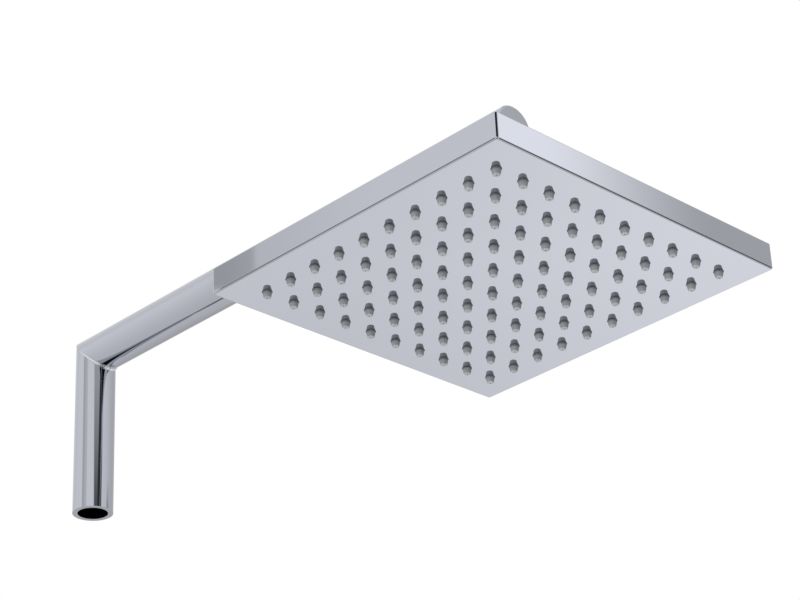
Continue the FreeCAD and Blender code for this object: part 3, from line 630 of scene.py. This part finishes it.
# Panels of the studio, each a brightness and its windows; a later one covers those before it
panels = [
    # Dark floor below the camera, grey screens behind it, greyer on the right and at the back
    (0.10, (azimuth, -75, 75, 8), (elevation, NADIR, -53, 4)),
    (ramp(elevation, 22, 25, 0.12, 0.50, "LINEAR"), (steeper, 4.2, 70, 4), (elevation, 19, 27, 1)),
    (ramp(azimuth, 60, 140, 0.86, 0.62), (azimuth, 55, BEHIND, 2.5), (elevation, NADIR, ZENITH, 5)),
    (ramp(elevation, -42, 5, 0.74, 0.46, "LINEAR"),
     (turned_away, 151, BEHIND, 3), (elevation, NADIR, 10, 4)),
    # Pale floor beyond the head
    (floor_level, (beyond, -5.3, 20, 0.15), (floor_edge, -37, -26.15, 0.2)),
    # Dark foot of the stand below the arm
    (0.20, (azimuth, -144, -134, 2), (elevation, -48, -46, 0.1)),
    # Bright screen far behind the arm
    (1.6, (azimuth, 150, 172, 3), (elevation, 5, 19, 2)),
    # Grey screens on the left
    (0.85, (azimuth, -182, -104, 5), (elevation, 20, 60, 1)),
    (ramp(steep, -60, -38, 0.58, 0.74), (steep, -62.5, -34.5, 2.5), (elevation, 10, 26.5, 1)),
    (ramp(azimuth, -94, -90, 0.80, 0.93), (azimuth, -95.35, -86, 0.15), (elevation, 27.2, 32, 0.15)),
    (ramp(azimuth, -95, -94, 0.53, 0.60), (azimuth, -95.35, -94.06, 0.04), (elevation, 27.2, 29, 0.15)),
    (0.30, (lengthwise, 0.56, 0.6815, 0.0003), (azimuth, -160, -60, 5), (elevation, -32, 18, 3)),
    # Dark room behind the camera
    (ramp(elevation, -45, -43.6, 0.28, 0.01), (azimuth, -8, 54, 4), (elevation, -56, -39, 1)),
    (ramp(elevation, -45, -44.1, 0.30, 0.02), (azimuth, 35, 54, 3.5), (elevation, -56, -38, 1)),
    (0.01, (azimuth, 15, 36, 2), (elevation, -30, 12, 1)),
    (0.09, (azimuth, 22, 34, 2), (elevation, 11, 21.3, 0.6)),
    (0.01, (azimuth, 34, 60, 2), (elevation, -29, -21, 1)),
    (0.04, (azimuth, 32.5, 54, 3.5), (elevation, 20.8, 23.2, 0.6)),
    (0.04, (azimuth, 32.5, 43.5, 3), (elevation, 22.6, 27, 0.8)),
    (0.02, (azimuth, -24, 50, 2), (elevation, 30, 32, 0.4)),
    # Dark room on the right, with bright screens beside and above it
    (0.06, (azimuth, 80, 106, 3), (elevation, -34, 4, 3), (crosswise, 0.62, 0.76, 0.01)),
    (1.5, (azimuth, 112, 146, 4), (elevation, -38.5, -26, 1)),
    (0.35, (azimuth, 90.5, 105, 3), (elevation, 12, 22.2, 0.5)),
    (ramp(azimuth, 93.8, 98.8, 1.29, 0.59), (azimuth, 80, 108, 2), (elevation, 26, 36, 0.7)),
]
for brightness, *windows in panels:
    light = panel(light, brightness, *windows)

# Soft light for matt surfaces: even from above, and from below a broad lamp on the camera's left
LAMP_SIDE = CAMERA_SIDE - math.radians(40.0)
LAMP_DROP = math.radians(55.0)
LAMP_LEVEL = 1.50
SHADE_LEVEL = 0.20
OVERHEAD_LEVEL = 0.75
lamp = along_axis((
    math.cos(LAMP_SIDE) * math.cos(LAMP_DROP),
    math.sin(LAMP_SIDE) * math.cos(LAMP_DROP),
    -math.sin(LAMP_DROP),
))
from_below = ramp(lamp, 0.6, 1.0, SHADE_LEVEL, LAMP_LEVEL)
soft_light = mix(ramp(elevation, -5, 5, 0.0, 1.0), from_below, OVERHEAD_LEVEL)

# The camera sees plain white, metal sees the studio, and matt surfaces get the soft light
paths = add_node(tree, "ShaderNodeLightPath")
mirrored = math_node("MAXIMUM", paths.outputs["Is Glossy Ray"], paths.outputs["Is Transmission Ray"])
seen = mix(paths.outputs["Is Camera Ray"], mix(mirrored, soft_light, light), 1.0)
background = add_node(tree, "ShaderNodeBackground", {"Color": (1, 1, 1, 1), "Strength": seen})
add_node(tree, "ShaderNodeOutputWorld", {"Surface": background.outputs[0]})

# Pale floor far below the head, lifted to white for the camera; sizes in metres
FLOOR_HALF = 4.0
FLOOR_HEIGHT = -1.2
FLOOR_GREY = 0.85
FLOOR_LIFT = 0.32
floor_mesh = bpy.data.meshes.new("floor")
floor_corners = [(x * FLOOR_HALF, y * FLOOR_HALF, FLOOR_HEIGHT) for x, y in SQUARE]
floor_mesh.from_pydata(floor_corners, [], [(0, 1, 2, 3)])
floor = bpy.data.objects.new("floor", floor_mesh)
bpy.context.scene.collection.objects.link(floor)
floor.visible_glossy = False
floor.visible_diffuse = False
pale = bpy.data.materials.new("pale_floor")
pale.use_nodes = True
floor_tree = pale.node_tree
floor_tree.nodes.clear()
camera_ray = add_node(floor_tree, "ShaderNodeLightPath").outputs["Is Camera Ray"]
lift = add_node(floor_tree, "ShaderNodeMath", {0: camera_ray, 1: FLOOR_LIFT}, operation="MULTIPLY")
matt = add_node(floor_tree, "ShaderNodeBsdfDiffuse", {"Color": (FLOOR_GREY, FLOOR_GREY, FLOOR_GREY, 1)})
white = add_node(floor_tree, "ShaderNodeEmission", {"Color": (1, 1, 1, 1), "Strength": lift.outputs[0]})
both = add_node(floor_tree, "ShaderNodeAddShader", {0: matt.outputs[0], 1: white.outputs[0]})
add_node(floor_tree, "ShaderNodeOutputMaterial", {"Surface": both.outputs[0]})
floor_mesh.materials.append(pale)

# Camera at the photograph's viewing angle, below the head and looking up at its face; lengths in metres
AZIMUTH = math.radians(-44.896)
ELEVATION = math.radians(-26.847)
ROLL = math.radians(-2.522)
DISTANCE = 1.180548
SHIFT_RIGHT = -0.046681
SHIFT_ABOVE = -0.009063
LENS = 105.653
SENSOR_WIDTH = 36.0
NEAREST = 0.01
back = Vector((
    math.sin(AZIMUTH) * math.cos(ELEVATION),
    -math.cos(AZIMUTH) * math.cos(ELEVATION),
    math.sin(ELEVATION),
))
level = Vector((math.cos(AZIMUTH), math.sin(AZIMUTH), 0))
upright = back.cross(level)
right = level * math.cos(ROLL) + upright * math.sin(ROLL)
above = upright * math.cos(ROLL) - level * math.sin(ROLL)
camera_data = bpy.data.cameras.new("camera")
camera_data.sensor_fit = "HORIZONTAL"
camera_data.sensor_width = SENSOR_WIDTH
camera_data.lens = LENS
camera_data.clip_start = NEAREST
camera = bpy.data.objects.new("camera", camera_data)
bpy.context.scene.collection.objects.link(camera)
place = HEAD + right * SHIFT_RIGHT + above * SHIFT_ABOVE + back * DISTANCE
camera.matrix_world = Matrix((
    (right.x, above.x, back.x, place.x),
    (right.y, above.y, back.y, place.y),
    (right.z, above.z, back.z, place.z),
    (0, 0, 0, 1),
))
bpy.context.scene.camera = camera
bpy.context.scene.view_settings.view_transform = "Standard"
